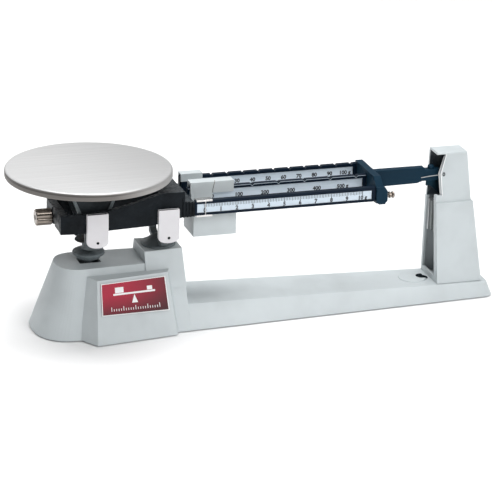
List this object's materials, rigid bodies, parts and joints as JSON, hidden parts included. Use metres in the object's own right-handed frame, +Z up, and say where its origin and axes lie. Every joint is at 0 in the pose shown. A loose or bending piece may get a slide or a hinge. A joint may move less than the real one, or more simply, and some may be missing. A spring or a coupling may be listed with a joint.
{
  "type": "triple beam balance",
  "caption": "Triple beam balance with a round plate, sliding poises on notched and plain beams, a zero knob, a magnetic damper and a pointer in a pillar.",
  "frame": {"origin": "on the table under the middle of the whole object", "axes": "+X along the beams from the plate to the pillar, +Y to the back, +Z up"},
  "size_m": [0.4698, 0.1524, 0.1524],
  "materials": {
    "grey_enamel": "semi-gloss light grey enamel",
    "black_casting": "black painted casting, fine pebbled skin",
    "navy_enamel": "satin dark navy enamel",
    "dark_casting": "dark grey painted casting",
    "stainless_steel": "brushed",
    "hardened_steel": "ground and hardened",
    "nickel_plate": "bright nickel plate",
    "scale_aluminium": "anodised, printed",
    "white_enamel": "white enamel",
    "agate": "polished stone",
    "ferrite": "pressed ferrite",
    "rubber": "matt",
    "badge": "printed label plate"
  },
  "bodies": {
    "base": {"base_casting": "grey_enamel", "badge_plate": "badge", "rubber_foot_pan_front": "rubber", "rubber_foot_pan_back": "rubber", "rubber_foot_pillar_front": "rubber", "rubber_foot_pillar_back": "rubber", "pillar_housing": "grey_enamel", "index_plate": "white_enamel", "damper_channel": "dark_casting", "damper_magnet_front": "ferrite", "damper_magnet_back": "ferrite", "pillar_screw_front": "nickel_plate", "pillar_screw_back": "nickel_plate", "fulcrum_stand": "dark_casting", "stand_screw": "nickel_plate", "fulcrum_bearing_front": "agate", "fulcrum_bearing_back": "agate", "check_rod_bracket": "dark_casting", "check_rod_pin_base": "hardened_steel"},
    "beam": {"beam_casting": "black_casting", "fulcrum_knife_front": "hardened_steel", "fulcrum_knife_back": "hardened_steel", "load_knife_front": "hardened_steel", "load_knife_back": "hardened_steel", "load_cover_front": "white_enamel", "load_cover_back": "white_enamel", "fulcrum_cover_front": "white_enamel", "fulcrum_cover_back": "white_enamel", "beam_yoke": "navy_enamel", "pointer_arm": "navy_enamel", "pointer_needle": "white_enamel", "arm_screw": "nickel_plate", "damping_vane": "scale_aluminium", "weight_hanger_stud": "nickel_plate", "front_beam": "black_casting", "middle_beam": "navy_enamel", "rear_beam": "navy_enamel", "front_scale_plate": "scale_aluminium", "middle_scale_plate": "scale_aluminium", "rear_scale_plate": "scale_aluminium", "zero_rod": "nickel_plate"},
    "zero_knob": {"zero_knob": "nickel_plate"},
    "front_rider": {"front_rider": "nickel_plate"},
    "middle_poise": {"middle_poise_saddle": "grey_enamel", "middle_poise_weight": "grey_enamel", "middle_poise_pin": "hardened_steel"},
    "rear_poise": {"rear_poise_saddle": "grey_enamel", "rear_poise_weight": "grey_enamel", "rear_poise_pin": "hardened_steel"},
    "pan_support": {"pan_support": "dark_casting", "load_bearing_front": "agate", "load_bearing_back": "agate", "dust_bell": "dark_casting", "check_rod_pin_stem": "hardened_steel"},
    "plate": {"weighing_plate": "stainless_steel", "plate_locating_ring": "stainless_steel"},
    "check_rod": {"check_rod": "hardened_steel"}
  },
  "joints": [
    {"name": "beam_tilt", "type": "hinge", "parent": "base", "child": "beam", "pos_m": [-0.0927, 0, 0.0905], "axis": [0, 1, 0], "range_deg": [-2.2, 2.2]},
    {"name": "pan_level", "type": "hinge", "parent": "beam", "child": "pan_support", "pos_m": [-0.1587, 0, 0.0905], "axis": [0, 1, 0], "range_deg": [-2.2, 2.2]},
    {"name": "check_rod_swing", "type": "hinge", "parent": "base", "child": "check_rod", "pos_m": [-0.0927, 0, 0.032], "axis": [0, 1, 0], "range_deg": [-2.2, 2.2]},
    {"name": "plate_lift", "type": "slide", "parent": "pan_support", "child": "plate", "axis": [0, 0, 1], "range_m": [0, 0.06]},
    {"name": "front_rider_slide", "type": "slide", "parent": "beam", "child": "front_rider", "axis": [1, 0, 0], "range_m": [0, 0.1524]},
    {"name": "middle_poise_slide", "type": "slide", "parent": "beam", "child": "middle_poise", "axis": [1, 0, 0], "range_m": [0, 0.127]},
    {"name": "rear_poise_slide", "type": "slide", "parent": "beam", "child": "rear_poise", "axis": [1, 0, 0], "range_m": [0, 0.1524]},
    {"name": "zero_knob_turn", "type": "hinge", "parent": "beam", "child": "zero_knob", "pos_m": [-0.2085, 0, 0.1084], "axis": [1, 0, 0], "range_deg": [-360, 360]}
  ],
  "couplings": [
    {"joint": "pan_level", "follows": "beam_tilt", "ratio": -1},
    {"joint": "check_rod_swing", "follows": "beam_tilt", "ratio": 1}
  ]
}
